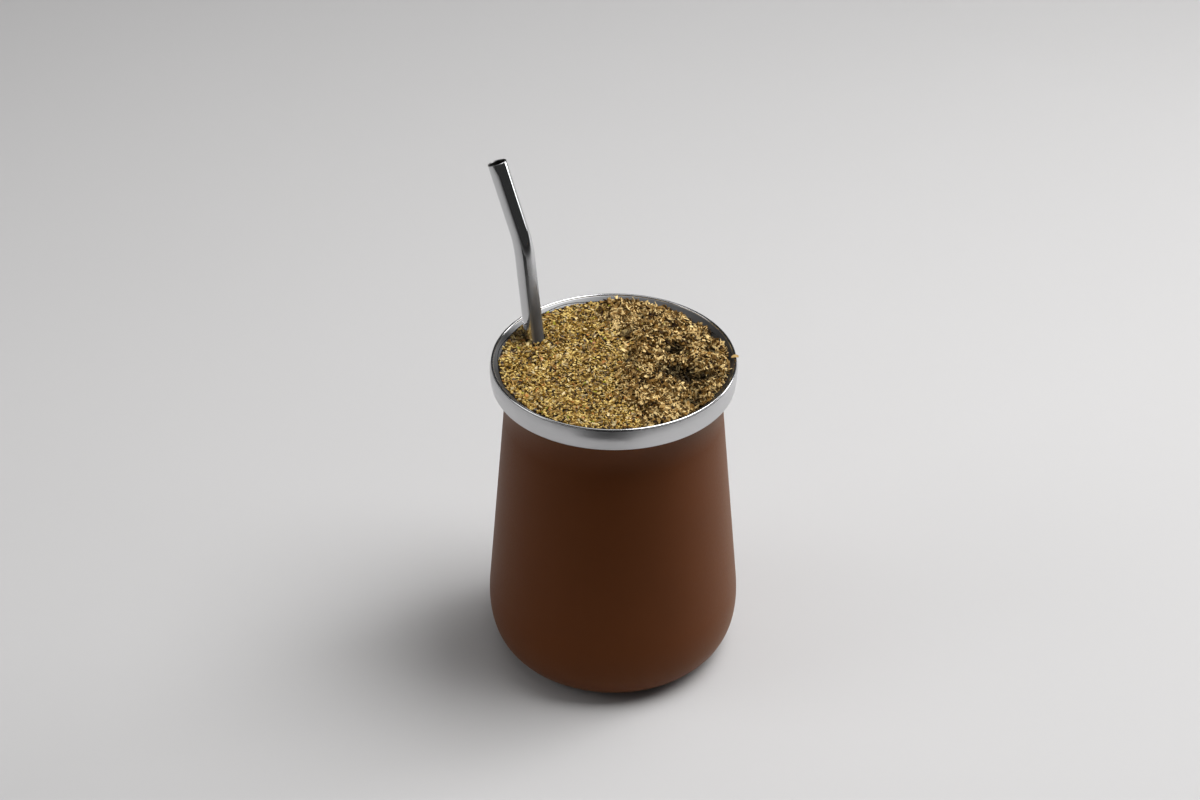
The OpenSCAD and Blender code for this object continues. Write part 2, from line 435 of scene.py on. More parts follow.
class Outline:
    """The cup's outline in its own half plane, at any depth below the painted surface"""

    belly_steps = 72
    flare_steps = 28
    mouth_steps = 60
    edge_steps = 12
    mouth_power = 4.5   # how late the liner's mouth widens
    swell_lean = 1.3    # how far down the band its swell sits

    def __init__(self, cup, rim):
        self.cup, self.rim = cup, rim
        self.band_z = cup.height - rim.band_height
        neck_z = self.band_z - cup.flare
        neck_r = rim.width / 2 - cup.neck_in
        collar_r = rim.width / 2 - cup.overhang
        self.flank = math.atan((neck_r - cup.belly_width / 2) / (neck_z - cup.belly_height))
        end = 2 * math.atan((collar_r - neck_r) / cup.flare) - self.flank
        self.flare_r = cup.flare / (math.sin(end) - math.sin(self.flank))
        self.flare_x = neck_r + self.flare_r * math.cos(self.flank)
        self.flare_z = neck_z - self.flare_r * math.sin(self.flank)
        lean = Vector((math.sin(self.flank), math.cos(self.flank)))
        belly = Vector((cup.belly_width / 2, cup.belly_height))
        foot = Vector((cup.foot_width / 2, 0))
        self.ctrl = (belly, belly - cup.belly_pull * lean, foot + Vector((cup.foot_pull, 0)), foot)
        self.wall = cup.wall + rim.wall
        self.throat = self.flare_point(self.flank, self.wall)
        self.mouth_top = cup.height - rim.lip_radius
        self.mouth_r = rim.width / 2 - 2 * rim.lip_radius

    def belly_point(self, t, depth):
        """A point on the curve from the flank, at 0, to the foot, at 1"""
        a, b, c, d = self.ctrl
        s = 1 - t
        point = s ** 3 * a + 3 * s * s * t * b + 3 * s * t * t * c + t ** 3 * d
        way = (s * s * (b - a) + 2 * s * t * (c - b) + t * t * (d - c)).normalized()
        return (point.x + depth * way.y, point.y - depth * way.x)

    def flare_point(self, turn, depth):
        """A point on the flare's arc"""
        reach = self.flare_r + depth
        return (self.flare_x - reach * math.cos(turn), self.flare_z + reach * math.sin(turn))

    def body(self, depth):
        """From the axis at the foot, up the flank to the neck"""
        belly = [self.belly_point(i / self.belly_steps, depth) for i in range(self.belly_steps, -1, -1)]
        return [(0.0, depth), *belly, self.flare_point(self.flank, depth)]

    def collar(self, depth):
        """From the neck up the flare to the underside of the rim band"""
        last = math.asin((self.band_z - self.flare_z) / (self.flare_r + depth))
        steps = self.flare_steps
        turns = [self.flank + (last - self.flank) * i / steps for i in range(1, steps + 1)]
        return [self.flare_point(turn, depth) for turn in turns]

    def mouth_radius(self, z):
        """Radius of the liner's widening mouth"""
        low_r, low_z = self.throat
        t = np.clip((z - low_z) / (self.mouth_top - low_z), 0, None)
        return low_r + (self.mouth_r - low_r) * t ** self.mouth_power

    def mouth(self):
        """From the throat up to the lip, inside"""
        low, steps = self.throat[1], self.mouth_steps
        heights = [low + (self.mouth_top - low) * i / steps for i in range(1, steps + 1)]
        return [(float(self.mouth_radius(z)), z) for z in heights]

    def band(self):
        """The band, from its lower edge up to the lip"""
        rim, steps = self.rim, self.edge_steps
        outer, round_r = rim.width / 2, rim.edge_radius
        points = []
        for i in range(steps + 1):
            a = math.radians(-90 + 90 * i / steps)
            points.append((outer + round_r * (math.cos(a) - 1), self.band_z + round_r * (1 + math.sin(a))))
        face = self.mouth_top - self.band_z - round_r
        for i in range(1, 2 * steps):
            t = i / (2 * steps)
            swell = rim.band_swell * math.sin(math.pi * t ** self.swell_lean)
            points.append((outer + swell, self.band_z + round_r + face * t))
        return points

    def lip(self):
        """Over the rounded lip, from outside to inside"""
        rim = self.rim
        turns = [math.pi * i / self.edge_steps for i in range(self.edge_steps + 1)]
        middle = rim.width / 2 - rim.lip_radius
        return [(middle + rim.lip_radius * math.cos(a), self.mouth_top + rim.lip_radius * math.sin(a))
                for a in turns]

    def shell(self):
        """The painted wall, with 0 all over, as none of it is brushed or darkened with painted shade"""
        skin, depth = self.cup.skin, self.cup.wall
        points = [*self.body(skin), *self.collar(skin), *self.collar(depth)[::-1], *self.body(depth)[::-1]]
        return points, [0.0] * len(points)

    def liner(self):
        """The liner and its rolled-over rim, with 1 on the brushed band, 0.5 inside, where painted shade
        darkens the steel, and 0 elsewhere
        """
        parts = (
            (self.body(self.cup.wall), 0), (self.collar(self.cup.wall), 0), (self.band(), 1), (self.lip(), 0),
            (self.mouth()[::-1], 0.5), (self.body(self.wall)[::-1], 0.5),
        )
        points = [point for part, mark in parts for point in part]
        marks = [float(mark) for part, mark in parts for point in part]
        return points, marks


def cup_outline(scene):
    """The outline at the sizes that are set"""
    return Outline(scene.mate_cup, scene.mate_rim)


# ---------------------------------------------------------------- the yerba's top

def sin_deg(a):
    """Sine of an angle in degrees"""
    return np.sin(np.radians(a))


def cos_deg(a):
    """Cosine of an angle in degrees"""
    return np.cos(np.radians(a))


# The clumps and hollows that stand out on the dry side: place, reach and height in millimetres
HUMPS = (
    (12.9, 9.5, 4.0, 2.1), (11.6, 0.4, 3.4, 1.8), (12.4, -22.0, 4.2, 1.5), (24.5, 12.5, 4.6, 1.5),
    (29.5, -2.5, 3.6, 1.5), (18.0, -15.5, 3.2, 1.6), (24.0, 1.5, 2.4, 1.2), (20.5, 19.0, 3.0, 0.8),
    (18.2, 4.4, 3.4, -3.0), (24.5, -8.4, 4.4, -3.4), (18.4, -7.6, 3.0, -2.6), (17.5, 16.5, 2.4, -1.8),
    (30.0, 5.5, 2.6, -1.6), (12.6, -5.5, 2.2, -1.4), (24.0, -20.5, 2.6, -1.8),
    (4.2, 16.5, 2.2, -2.0), (5.2, 1.5, 3.0, -1.1), (30.5, 14.0, 2.4, -1.4),
)


class Heap:
    """The yerba's uneven top; heights and places are in millimetres, angles in degrees

    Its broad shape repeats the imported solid's own rule, and only the rough relief on it is finer."""

    # places and sizes are shares of the mouth's radius; a pit's last number is a share of the heap's height
    crest = ((0.46, 0.08), 0.4)
    pits = (((0.43, 0.11), 0.09, 0.62), ((0.65, -0.19), 0.1, 0.75))
    hole, hole_depth = ((0.09, 0.57), 0.08), 1.1
    crack_width = 0.1   # share of a seam's swing that is cracked open

    def __init__(self, outline, sizes):
        self.outline, self.sizes = outline, sizes
        self.level = (outline.cup.height - sizes.drop) / MM
        self.reach = outline.mouth_r / MM
        self.heap, self.lump = sizes.heap / MM, sizes.lump / MM

    def dryness(self, x, y):
        """0 on the wet side, 1 on the dry heap, with a ragged border"""
        border = self.reach * (0.11 + 0.08 * sin_deg(9 * y + 20)) - 0.12 * y
        t = np.clip((x - border) / (0.24 * self.reach) + 0.5, 0, 1)
        return t * t * (3 - 2 * t)

    def bump(self, x, y, place, size):
        """A round bump of height 1"""
        far = np.hypot(x - self.reach * place[0], y - self.reach * place[1])
        return np.exp(-(far / (self.reach * size)) ** 2)

    def lumps(self, x, y):
        """The small lumps, about 0"""
        return (sin_deg(31 * x + 40 * sin_deg(17 * y)) * cos_deg(27 * y + 30 * sin_deg(13 * x))
                + 0.6 * sin_deg(47 * x + 25) * sin_deg(43 * y - 50 * sin_deg(21 * x)))

    def top(self, x, y):
        """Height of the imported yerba"""
        dry = self.dryness(x, y)
        shore = 1 - np.minimum(1, np.hypot(x, y) / self.reach) ** 6
        crest = 0.28 + 0.72 * self.bump(x, y, *self.crest)
        pits = sum(deep * self.bump(x, y, place, size) for place, size, deep in self.pits)
        return (self.level - 0.3
                + self.heap * dry * crest * shore
                + self.lump * self.lumps(x, y) * (0.35 + 1.15 * dry) * shore
                - self.heap * dry * pits
                - self.hole_depth * self.bump(x, y, *self.hole))

    def edge(self, turn):
        """Height of the yerba's edge on the liner, at a compass direction"""
        lean = 0.75 * (self.sizes.drop - self.outline.rim.lip_radius) / MM
        return (self.level + lean * np.maximum(0, cos_deg(turn + 8))
                - 1.3 * np.maximum(0, cos_deg(turn - 52)) ** 12
                + 0.16 * sin_deg(7 * turn) + 0.1 * sin_deg(13 * turn + 40))

    def pattern(self, x, y, scale, layer, heights=noise.noise):
        """Smooth random heights, about 0"""
        return np.array([heights(Vector((a * scale, b * scale, layer))) for a, b in zip(x, y)])

    def rough(self, x, y):
        """Height that the humps, the clods, the cracks between them and the crumbs add"""
        sizes, dry = self.sizes, self.dryness(x, y)
        clods = self.pattern(x, y, 0.3, 3.1, lambda place: noise.fractal(place, 1.0, 2.1, 2))
        seams = self.pattern(x, y, 0.24, 11.3)
        crumbs = self.pattern(x, y, 1.3, 7.7)
        cracks = np.clip(1 - np.abs(seams) / self.crack_width, 0, 1)
        shore = 1 - np.minimum(1, np.hypot(x, y) / self.reach) ** 8
        humps = sum(high * np.exp(-((x - a) ** 2 + (y - b) ** 2) / wide ** 2) for a, b, wide, high in HUMPS)
        return humps + (shore * dry * (sizes.clod * clods - sizes.crack * cracks)
                        + sizes.crumb * crumbs * (0.4 + 0.6 * dry)) / MM

    def relief(self, x, y):
        """The bed's top: the heap with its rough relief, under its loose bits"""
        return self.top(x, y) - self.sizes.bed_depth / MM + self.rough(x, y)


def bombilla_frame(scene, outline):
    """Where the tube leans on the liner, turned so that +Z runs up the tube"""
    tube = scene.mate_bombilla
    lean_z = outline.cup.height - scene.mate_yerba.drop - tube.lean_drop
    lean_r = float(outline.mouth_radius(lean_z)) - tube.width / 2 - tube.gap
    place = Vector((lean_r * math.cos(tube.place), lean_r * math.sin(tube.place), lean_z))
    turn = (Matrix.Rotation(tube.azimuth, 4, "Z") @ Matrix.Rotation(tube.tilt, 4, "Y")
            @ Matrix.Rotation(tube.bend_turn, 4, "Z"))
    return Matrix.Translation(place) @ turn


def off_axis(points, base):
    """Distance of points from the line up a frame's +Z"""
    start, way = np.array(base.translation), np.array(base.col[2][:3])
    off = points - start
    return np.linalg.norm(off - np.outer(off @ way, way), axis=1)


# ---------------------------------------------------------------- finishes

def finish_of(name):
    """A new material, its bench, its shader and its place on the object"""
    material = bpy.data.materials.new(name)
    material.use_nodes = True
    bench = Bench(material.node_tree)
    shader = bench.add("ShaderNodeBsdfPrincipled")
    bench.add("ShaderNodeOutputMaterial", None, {"Surface": shader})
    place = bench.add("ShaderNodeTexCoord", None, None, "Object")
    return material, bench, shader.socket.node, place


def wire(bench, shader, **inputs):
    """Set or link the shader's sockets; underscores stand for spaces"""
    for key, value in inputs.items():
        socket = shader.inputs[key.replace("_", " ")]
        if isinstance(value, Value):
            bench.tree.links.new(value.socket, socket)
        else:
            socket.default_value = value


def bump(bench, height, depth, strength=1.0):
    """A relief from a height"""
    return bench.add("ShaderNodeBump", None, {"Height": height, "Distance": depth, "Strength": strength})


def powder_coat(tint):
    """Brown paint with the fine pebbled grain of a baked powder coat"""
    material, bench, shader, place = finish_of("Powder coat")
    pebble = bench.grain(place, 1500, detail=2)
    orange_peel = bench.grain(place, 420, detail=1)
    cloud = bench.grain(place, 45, detail=2)
    wire(bench, shader, Base_Color=bench.toned(tint, 0.93 + 0.14 * cloud), Roughness=0.42 + 0.16 * pebble,
         Normal=bump(bench, 0.7 * pebble + 0.3 * orange_peel, 0.05 * MM, 0.5),
         Specular_IOR_Level=0.13, Specular_Tint=(1.0, 0.6, 0.34, 1),
         Sheen_Weight=0.1, Sheen_Roughness=0.45, Sheen_Tint=(1.0, 0.78, 0.54, 1))
    return material


def rim_steel(tint):
    """Steel that is brushed round the band, polished on the lip, and satin inside, where its colour is also
    darkened as painted shade
    """
    material, bench, shader, place = finish_of("Brushed steel")
    mark = bench.read("brushed")
    flat = bench.scaled(place, 1, 1, 0)
    round_it = bench.add("ShaderNodeVectorMath", {"operation": "NORMALIZE"}, {0: flat})
    drawn = bench.vector_sum("ADD", bench.scaled(round_it, 9, 9, 0), bench.scaled(place, 0, 0, 2600))
    strokes = bench.grain(drawn, 1, detail=4, roughness=0.65)
    smudge = bench.grain(place, 70, detail=3)
    band = bench.smooth(mark, 0.6, 0.9)
    inside = bench.smooth(mark, 0.1, 0.4) - band
    rough = 0.14 + 0.18 * band + 0.3 * inside + 0.1 * (strokes - 0.5) * band + 0.06 * smudge
    # the inside's colour is darkened as painted shade, which dims the bright reflections inside the liner
    tone = 0.9 + 0.14 * strokes * band + 0.06 * smudge - 0.7 * inside
    wire(bench, shader, Base_Color=bench.toned(tint, tone), Metallic=1.0, Roughness=rough,
         Normal=bump(bench, strokes * (0.2 + 0.8 * band), 0.012 * MM, 0.6))
    return material


def tube_steel(tint, film_top, middle):
    """Polished steel, with a dark film of leaf dust and water on its +X side near the yerba, and its bore and
    rounded mouth darkened as painted shade

    film_top is where the film ends; middle gives the tube's axis: its X at the floor, and its slope in X."""
    fade, ragged = 24 * MM, 7 * MM
    film_dark, film_light = (0.02, 0.022, 0.026, 1), (0.1, 0.105, 0.115, 1)
    # painted shade for the bore, which also darkens the rounded mouth
    bore_painted_shade = (0.015, 0.013, 0.01, 1)
    material, bench, shader, place = finish_of("Polished steel")
    x = bench.add("ShaderNodeSeparateXYZ", None, {0: place}, "X")
    z = bench.also(x, "Z")
    aside = x - (middle[0] + middle[1] * z)
    smear = bench.grain(bench.scaled(place, 1, 1, 0.3), 260, detail=4, roughness=0.6)
    film = 1 - bench.smooth(z + ragged * (smear - 0.5), film_top - fade, film_top)
    film = film * bench.smooth(aside, -1.2 * MM, 0.6 * MM)
    bore = bench.read("brushed")
    rough = 0.06 + 0.02 * smear + 0.16 * film + 0.3 * bore
    base = bench.mix(0.94 * film, (*tint, 1), bench.mix(smear, film_dark, film_light))
    base = bench.mix(0.95 * bore, base, bore_painted_shade)
    wire(bench, shader, Base_Color=base, Metallic=1 - 0.75 * film, Roughness=rough,
         Normal=bump(bench, smear, 0.01 * MM, 0.3))
    return material


def leaf_finish(name, stops, soaked_at, wet=False):
    """Cut leaf: each bit has its own shade, with specks; shade is painted dark into the hollows, and it is
    darker where it is soaked
    """
    soaked_core, soaked_reach = 2.5 * MM, 8.5 * MM
    material, bench, shader, place = finish_of(name)
    speck = bench.grain(place, 1700, detail=3, roughness=0.6)
    patch = bench.grain(place, 120, detail=2)
    where = (bench.read("pick") + 0.28 * (speck - 0.5) + 0.5 * (patch - 0.5)).clamped()
    base = bench.add("ShaderNodeValToRGB", {"stops": stops}, {0: where})
    off = bench.vector_sum("SUBTRACT", bench.scaled(place, 1, 1, 0), (*soaked_at, 0))
    far = bench.add("ShaderNodeVectorMath", {"operation": "LENGTH"}, {0: off}, "Value")
    soaked = bench.smooth(far, soaked_core, soaked_reach, 0.62, 0.0)
    # the soaked patch darkens the colour, and the low mark paints shade into the hollows
    shade = (soaked + 0.84 * bench.read("low")).clamped()
    base = bench.mix(shade, base, (0.012, 0.008, 0.003, 1))
    rough = 0.42 + 0.3 * speck - 0.1 * soaked if wet else 0.66 + 0.24 * speck
    wire(bench, shader, Base_Color=base, Roughness=rough, Specular_IOR_Level=0.22,
         Normal=bump(bench, speck, 0.12 * MM, 0.6))
    if wet:
        wire(bench, shader, Coat_Weight=0.2, Coat_Roughness=0.15)
    return material


def floor_finish(tint):
    """A plain matt sheet with a faint tooth"""
    material, bench, shader, place = finish_of("Plain sheet")
    tooth = bench.grain(place, 900, detail=2)
    tone = 0.985 + 0.03 * bench.grain(place, 6, detail=2)
    wire(bench, shader, Base_Color=bench.toned(tint, tone), Roughness=0.75 + 0.1 * tooth,
         Normal=bump(bench, tooth, 0.02 * MM, 0.3))
    return material


def card_finish():
    """The dull black of the card that gives the steel its dark lines

    It is clear from below, so that it doesn't dim the floor under it."""
    material, bench, shader, place = finish_of("Black card")
    tooth = bench.grain(place, 300)
    below = bench.add("ShaderNodeNewGeometry", None, None, "Backfacing")
    wire(bench, shader, Base_Color=bench.mix(tooth, (0.012, 0.012, 0.012, 1), (0.02, 0.02, 0.02, 1)),
         Roughness=0.9, Alpha=1 - below)
    return material


# ---------------------------------------------------------------- scattered bits

def scatter_tree():
    """Flat or long bits strewn over a bed, where one of its attributes allows them

    Each bit leans, turns and rises by chance, and its corners are pushed about by the warp."""
    bench, taken = geometry_tree("Strewn bits", {
        "Where": "String", "Density": "Float", "Length": "Float", "Width": "Float", "Thickness": "Float",
        "Spread": "Float", "Tilt": "Float", "Lift": "Float", "Warp": "Float", "Sides": "Int", "Seed": "Int",
        "Finish": "Material",
    })
    allowed = bench.add("GeometryNodeInputNamedAttribute", {"data_type": "FLOAT"}, {"Name": taken["Where"]})
    points = bench.add("GeometryNodeDistributePointsOnFaces", {"distribute_method": "RANDOM"},
                       {"Mesh": taken["Geometry"], "Density": allowed * taken["Density"],
                        "Seed": taken["Seed"]})
    normal = bench.also(points, "Normal")
    base_turn = bench.also(points, "Rotation")

    def chance(low, high, shift):
        """A random number for each bit"""
        return bench.add("FunctionNodeRandomValue", {"data_type": "FLOAT"},
                         {2: low, 3: high, "Seed": taken["Seed"] + shift}, out=1)

    rise = bench.stretched(normal, taken["Lift"] * chance(-0.3, 1.0, 11))
    lifted = bench.add("GeometryNodeSetPosition", None, {"Geometry": points, "Offset": rise})
    lean = bench.add("ShaderNodeCombineXYZ", None,
                     {0: taken["Tilt"] * chance(-1.0, 1.0, 12), 1: taken["Tilt"] * chance(-1.0, 1.0, 13),
                      2: chance(0.0, TAU, 14)})
    spin = bench.add("FunctionNodeEulerToRotation", None, {0: lean})
    turn = bench.add("FunctionNodeRotateRotation", {"rotation_space": "LOCAL"}, {0: base_turn, 1: spin})
    small = 1 - taken["Spread"]
    large = 1 + taken["Spread"]
    scale = bench.add("ShaderNodeCombineXYZ", None,
                      {0: taken["Length"] * chance(small, large, 15),
                       1: taken["Width"] * chance(small, large, 16),
                       2: taken["Thickness"] * chance(small, large, 17)})
    bit = bench.add("GeometryNodeMeshCylinder", {"fill_type": "NGON"},
                    {"Vertices": taken["Sides"], "Radius": 0.5, "Depth": 1.0})
    strewn = bench.add("GeometryNodeInstanceOnPoints", None,
                       {"Points": lifted, "Instance": bit, "Rotation": turn, "Scale": scale})
    marked = bench.store(strewn, "INSTANCE", "pick", chance(0.0, 1.0, 18))
    real = bench.add("GeometryNodeRealizeInstances", None, {"Geometry": marked})
    here = bench.add("GeometryNodeInputPosition")
    wobble = bench.add("ShaderNodeTexNoise", {"noise_dimensions": "3D"},
                       {"Vector": here, "Scale": WOBBLE, "Detail": 1.0}, "Color")
    push = bench.stretched(bench.vector_sum("SUBTRACT", wobble, (0.5, 0.5, 0.5)), taken["Warp"])
    warped = bench.add("GeometryNodeSetPosition", None, {"Geometry": real, "Offset": push})
    flat = bench.add("GeometryNodeSetShadeSmooth", None, {"Geometry": warped, "Shade Smooth": False})
    return close_tree(bench, flat, taken["Finish"])


# The loose bits: name, where they lie, bits a square centimetre, length, width and thickness in millimetres,
# spread of these, tilt in degrees, lift and warp in millimetres, sides
KINDS = (
    ("wet_leaf", "wet", 340, 1.15, 0.62, 0.14, 0.45, 26, 0.35, 0.4, 6),
    ("dry_leaf", "dry", 340, 2.0, 0.85, 0.14, 0.5, 55, 1.0, 0.6, 6),
    ("wet_crumbs", "wet", 170, 0.7, 0.5, 0.3, 0.4, 40, 0.5, 0.4, 5),
    ("dry_crumbs", "dry", 190, 0.9, 0.55, 0.35, 0.4, 60, 1.1, 0.5, 5),
    ("leaf_stems", "any", 5, 3.2, 0.5, 0.45, 0.35, 18, 0.6, 0.5, 6),
    ("pale_bits", "any", 16, 1.5, 0.7, 0.2, 0.4, 30, 0.6, 0.5, 6),
    ("rust_bits", "any", 5, 1.4, 0.8, 0.2, 0.4, 30, 0.6, 0.5, 6),
    ("green_bits", "any", 2, 1.3, 0.7, 0.16, 0.3, 20, 0.5, 0.5, 6),
)


# ---------------------------------------------------------------- operators

class MATE_OT_shell(bpy.types.Operator):
    """Turn the cup's painted outer shell"""
    bl_idname = "mate.shell"
    bl_label = "Painted shell"

    def execute(self, context):
        scene = context.scene
        finish = powder_coat(scene.mate_finishes.paint)
        piece = round_piece("painted_shell", turned(*cup_outline(scene).shell()), CUP_STEPS, finish)
        hand_in(piece, "painted_steel", "shell")
        return {"FINISHED"}


class MATE_OT_liner(bpy.types.Operator):
    """Turn the steel liner and its rolled-over rim"""
    bl_idname = "mate.liner"
    bl_label = "Liner and rim"

    def execute(self, context):
        scene = context.scene
        finish = rim_steel(scene.mate_finishes.steel)
        piece = round_piece("liner_and_rim", turned(*cup_outline(scene).liner()), CUP_STEPS, finish)
        hand_in(piece, "brushed_steel", "liner")
        return {"FINISHED"}


class MATE_OT_bombilla(bpy.types.Operator):
    """Sweep the bombilla's tube along its path, with a rounded open mouth"""
    bl_idname = "mate.bombilla"
    bl_label = "Bombilla"

    low_steps, bend_steps, top_steps, mouth_steps = 12, 40, 6, 8
    lip_mark = 0.7          # how dull the rounded mouth is and how far painted shade darkens it, where 1 is the bore's painted shade
    film_above = 30 * MM    # how far above the lip the film of dust and water ends

    def execute(self, context):
        scene = context.scene
        outline = cup_outline(scene)
        tube = scene.mate_bombilla
        base = bombilla_frame(scene, outline)
        lean_z = base.translation.z
        foot = ((lean_z - outline.wall - tube.gap) / math.cos(tube.tilt)
                - tube.width / 2 * math.tan(tube.tilt))
        top = tube.lean_drop / math.cos(tube.tilt) + tube.rise
        path = [(0.0, -foot + (top + foot) * i / self.low_steps, 0.0) for i in range(self.low_steps + 1)]
        for i in range(1, self.bend_steps + 1):
            a = tube.bend * i / self.bend_steps
            path.append((tube.bend_radius * (1 - math.cos(a)), top + tube.bend_radius * math.sin(a), a))
        x, z, a = path[-1]
        for i in range(1, self.top_steps + 1):
            reach = tube.mouthpiece * i / self.top_steps
            path.append((x + reach * math.sin(a), z + reach * math.cos(a), a))
        outer = []
        for x, z, a in path:
            t = min(1.0, a / tube.bend)
            outer.append((x, z, a, tube.width / 2 - tube.draw / 2 * t * t * (3 - 2 * t), 0.0))
        x, z, a, r, _ = outer[-1]
        half = tube.wall / 2
        outer[-1] = (x - half * math.sin(a), z - half * math.cos(a), a, r, 0.0)
        lip = []
        for i in range(1, self.mouth_steps):
            b = math.pi * i / self.mouth_steps
            out = half * math.sin(b) - half
            lip.append((x + out * math.sin(a), z + out * math.cos(a), a, r - half + half * math.cos(b),
                        self.lip_mark))
        # the bore, marked 1 for its painted shade
        inner = [(x, z, a, r - tube.wall, 1.0) for x, z, a, r, _ in outer[::-1]]
        over = tuple(base.to_3x3() @ Vector((0, 1, 0)))
        rings = []
        for x, z, a, r, mark in [*outer, *lip, *inner, outer[0]]:
            across = base.to_3x3() @ Vector((math.cos(a), 0, -math.sin(a)))
            rings.append((tuple(base @ Vector((x, 0, z))), tuple(across), over, r, mark))
        start, way = base.translation, base.col[2]
        slope = way[0] / way[2]
        finish = tube_steel(scene.mate_finishes.steel, scene.mate_cup.height + self.film_above,
                            (start.x - slope * start.z, slope))
        piece = round_piece("bombilla_tube", rings, TUBE_STEPS, finish)
        hand_in(piece, "polished_steel", "bombilla")
        return {"FINISHED"}


class MATE_OT_yerba(bpy.types.Operator):
    """Pack the yerba, and strew its loose bits over the bed"""
    bl_idname = "mate.yerba"
    bl_label = "Yerba"

    turns = 288         # points round the bed
    top_rings = 110     # rings of its top
    side_skip = 4       # it takes every fourth of the liner's own rings
    climb_turn = 140    # compass direction in degrees where the bed climbs highest
    seed_step = 40      # between the seeds of two kinds of bits
    # in millimetres: how deep the top may lie, how far loose bits keep from the liner and the tube's axis,
    # over how much more they thin out, and how deep a hollow lies where the shade painted into it is fully
    # dark
    top_depth, liner_clear, tube_clear, tube_fade, hollow = 4.5, 0.25, 3.5, 0.4, 1.1

    def bed(self, scene, outline, heap):
        """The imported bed, closed down to the liner's floor, with what may lie where"""
        gap, floor_z = heap.sizes.gap / MM, (outline.wall + heap.sizes.gap) / MM
        turn = np.arange(self.turns) * 360 / self.turns
        climb = heap.sizes.edge_rise / MM * np.maximum(0, cos_deg(turn - self.climb_turn)) ** 0.5
        edge = heap.edge(turn) - heap.sizes.bed_depth / MM + climb
        wall_r = outline.mouth_radius(edge * MM) / MM - gap
        side = [(r / MM, z / MM) for r, z in [*outline.body(outline.wall), *outline.mouth()] if r > 0]
        rows = [(np.full(self.turns, r - gap), np.full(self.turns, max(z, floor_z)))
                for r, z in side[::self.side_skip] if z < edge.min() - 1]
        rows.append((wall_r, edge))
        for k in range(self.top_rings - 1, 0, -1):
            r = wall_r * k / self.top_rings
            top = heap.relief(r * cos_deg(turn), r * sin_deg(turn))
            rows.append((r, top + climb * (k / self.top_rings) ** 12))
        middle = heap.relief(np.zeros(1), np.zeros(1))[0]
        points = np.concatenate([
            np.array([[0, 0, floor_z]]),
            *[np.stack([r * cos_deg(turn), r * sin_deg(turn), z], axis=1) for r, z in rows],
            np.array([[0, 0, middle]]),
        ])
        n, last, end = self.turns, 1 + (len(rows) - 1) * self.turns, len(points) - 1
        sides = [(s, (s + 1) % n) for s in range(n)]
        faces = [(0, 1 + t, 1 + s) for s, t in sides]
        faces += [(a + s, a + t, a + n + t, a + n + s) for a in range(1, last, n) for s, t in sides]
        faces += [(last + s, last + t, end) for s, t in sides]
        mesh = mesh_of("yerba_bed", (points * MM).tolist(), [], faces)
        mesh.validate()
        x, y, z = points.T
        on_top = ((z > heap.level - self.top_depth)
                  & (np.hypot(x, y) < outline.mouth_radius(z * MM) / MM - self.liner_clear))
        tube = off_axis(points * MM, bombilla_frame(scene, outline)) / MM
        clear = on_top * np.clip((tube - self.tube_clear) / self.tube_fade, 0, 1)
        dry = heap.dryness(x, y)
        # how deep each point lies in a hollow: the leaf finishes paint shade there from this low mark, and
        # fewer dry bits lie there
        low = np.clip(-heap.rough(x, y) / self.hollow - 0.06, 0, 1) * on_top
        give(mesh, "wet", "FLOAT", clear * (1 - dry))
        give(mesh, "dry", "FLOAT", clear * dry * (1 - 0.5 * low))
        give(mesh, "any", "FLOAT", clear)
        give(mesh, "low", "FLOAT", low)
        mesh.shade_smooth()
        return placed("yerba_bed", mesh)

    def execute(self, context):
        scene = context.scene
        sizes, look = scene.mate_yerba, scene.mate_finishes
        outline = cup_outline(scene)
        bed = self.bed(scene, outline, Heap(outline, sizes))
        soaked_at = (sizes.soaked_x, sizes.soaked_y)
        deep = [(0.0, [0.4 * v for v in look.bed]), (0.5, look.bed), (1.0, look.wet_dark)]
        bed.data.materials.append(leaf_finish("Packed yerba", deep, soaked_at))
        wet = leaf_ramp((0.05, 0.3, 0.55, 0.92), look.wet_dark, look.wet_mid, look.wet_light)
        dry = leaf_ramp((0.05, 0.28, 0.52, 0.85), look.dry_dark, look.dry_mid, look.dry_light)
        finishes = {
            "wet_leaf": leaf_finish("Wet leaf", wet, soaked_at, True),
            "dry_leaf": leaf_finish("Dry leaf", dry, soaked_at),
            "leaf_stems": leaf_finish("Stem", spread_about(look.stem), soaked_at),
            "pale_bits": leaf_finish("Pale bit", spread_about(look.pale), soaked_at, True),
            "rust_bits": leaf_finish("Rust bit", spread_about(look.rust), soaked_at, True),
            "green_bits": leaf_finish("Green bit", spread_about(look.green), soaked_at, True),
        }
        finishes["wet_crumbs"] = finishes["wet_leaf"]
        finishes["dry_crumbs"] = finishes["dry_leaf"]
        tree = scatter_tree()
        for i, kind in enumerate(KINDS):
            name, where, density, long, wide, thick, spread, tilt, lift, warp, sides = kind
            piece = grown(name, bed.data.copy(), tree, {
                "Where": where, "Density": density / CM ** 2, "Length": long * MM, "Width": wide * MM,
                "Thickness": thick * MM, "Spread": spread, "Tilt": math.radians(tilt), "Lift": lift * MM,
                "Warp": warp * MM, "Sides": sides, "Seed": sizes.seed + self.seed_step * i,
                "Finish": finishes[name],
            })
            hand_in(piece, "yerba")
        hand_in(bed, "yerba", "yerba")
        self.flake(scene, finishes["dry_leaf"])
        return {"FINISHED"}

